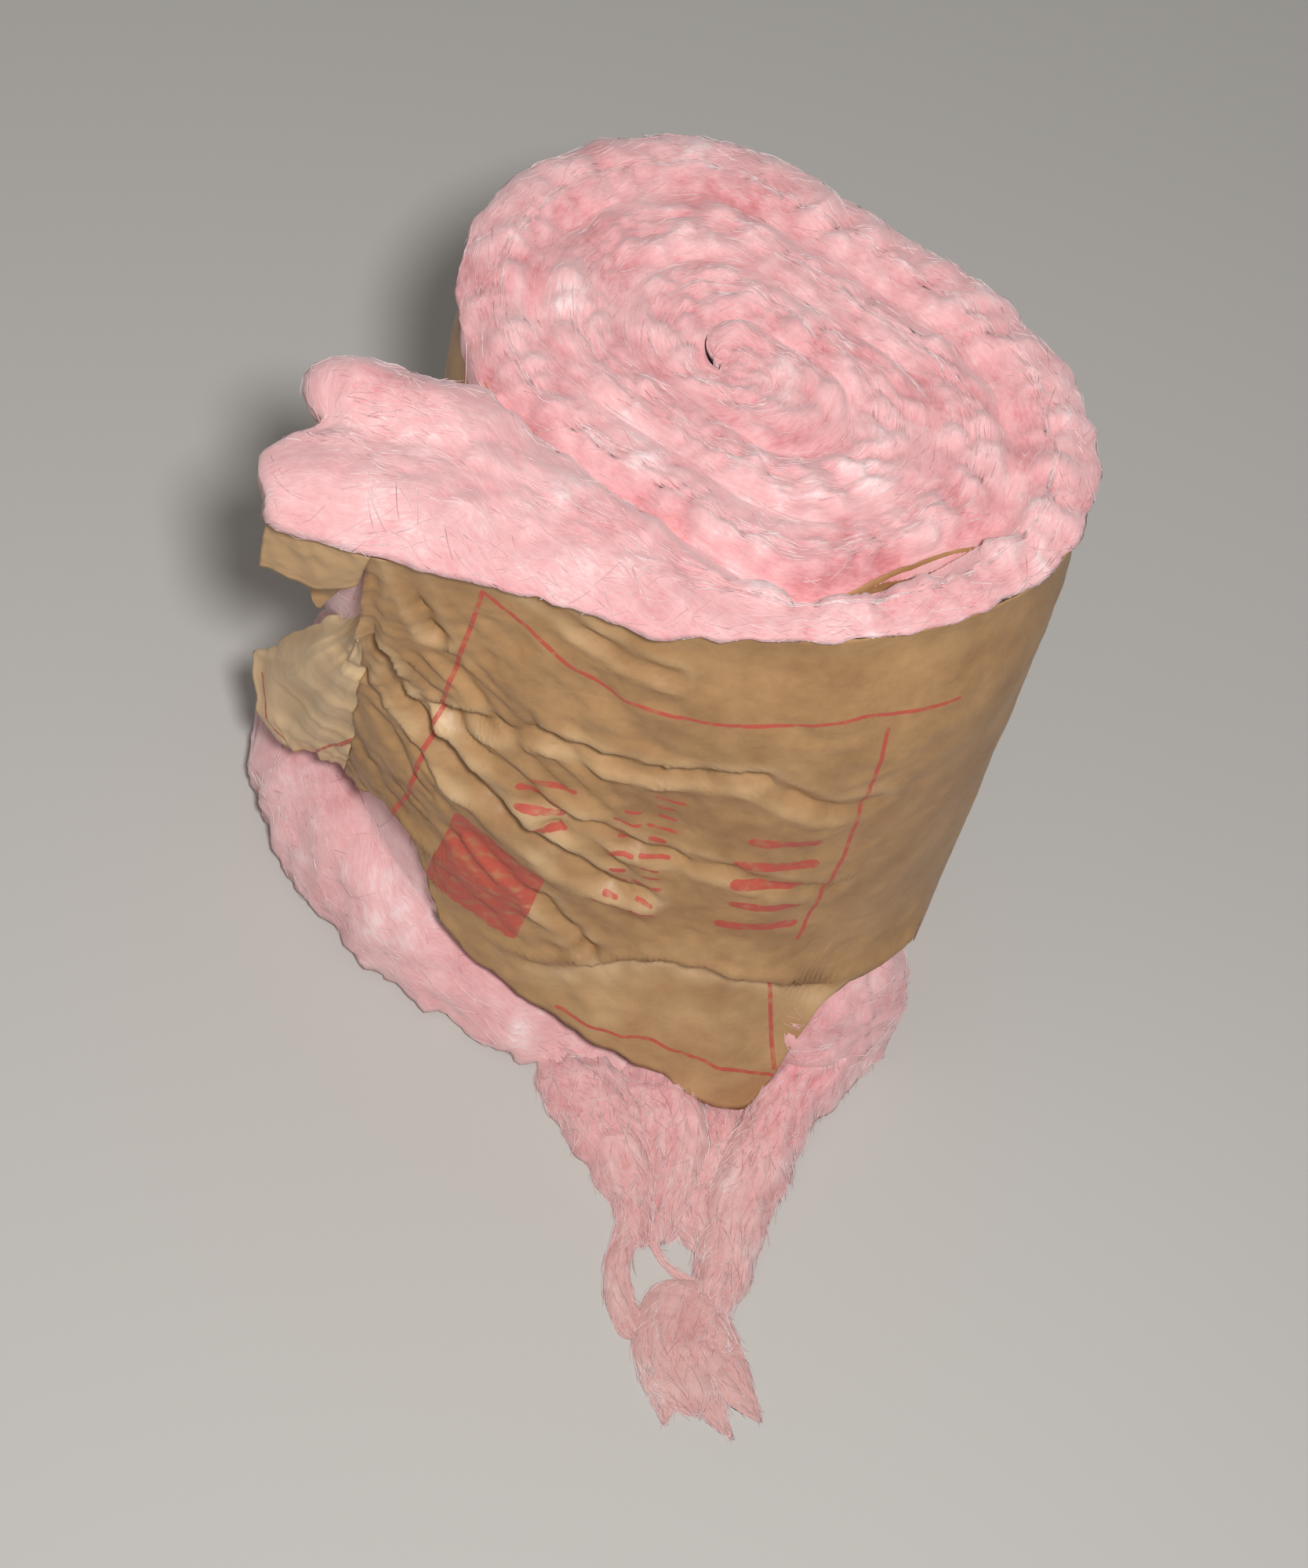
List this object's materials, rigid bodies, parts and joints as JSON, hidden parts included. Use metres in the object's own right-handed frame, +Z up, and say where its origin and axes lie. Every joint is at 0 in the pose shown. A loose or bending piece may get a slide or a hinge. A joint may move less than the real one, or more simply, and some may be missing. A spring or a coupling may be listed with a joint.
{
  "type": "insulation roll",
  "caption": "Oval roll of pink glass wool batt with a brown kraft paper facing, standing on its end with its free end peeled open.",
  "frame": {"origin": "on the floor, midway between the two ends of the oval coil", "axes": "+Z up along the roll's axis, -X the way the free end points at the head, -Y the side that faces the viewer"},
  "size_m": [0.3987, 0.458, 0.381],
  "materials": {
    "wool": "matte glass wool",
    "facing": "waxy kraft paper with red print",
    "loose_wool": "matte torn glass wool"
  },
  "bodies": {
    "root": {"wool_blanket": "wool", "kraft_facing": "facing", "torn_wool": "loose_wool"}
  },
  "joints": []
}
